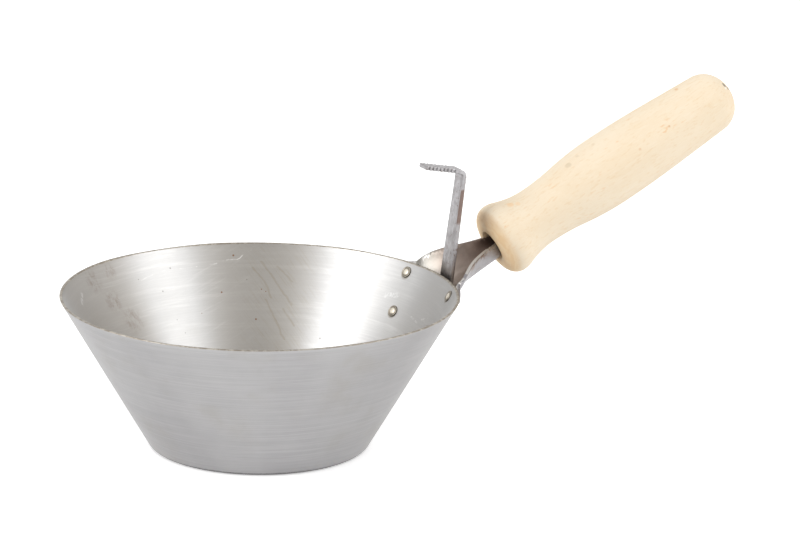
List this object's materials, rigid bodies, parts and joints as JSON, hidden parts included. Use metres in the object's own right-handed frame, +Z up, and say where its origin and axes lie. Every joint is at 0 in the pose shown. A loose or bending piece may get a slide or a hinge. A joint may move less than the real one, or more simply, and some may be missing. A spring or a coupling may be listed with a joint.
{
  "type": "pouring ladle",
  "caption": "Conical sheet-steel ladle with a riveted bracket, a hook over the rim and a turned wooden handle, for scooping and pouring mortar or plaster.",
  "frame": {"origin": "centre of the bowl's flat base, on the face it stands on", "axes": "+Z up, +X towards the handle; the object is close to symmetric about the plane Y = 0"},
  "size_m": [0.3696, 0.201, 0.1695],
  "materials": {
    "bowl_steel": "satin rolled sheet with brushing marks",
    "bracket_steel": "dull pressed sheet with light rust",
    "hook_steel": "dull flat bar with light rust",
    "rivet_steel": "satin",
    "grip_wood": "turned beech, sanded, lightly sealed"
  },
  "bodies": {
    "root": {"bowl": "bowl_steel", "handle_bracket": "bracket_steel", "hook": "hook_steel", "rivets": "rivet_steel", "grip": "grip_wood"}
  },
  "joints": []
}
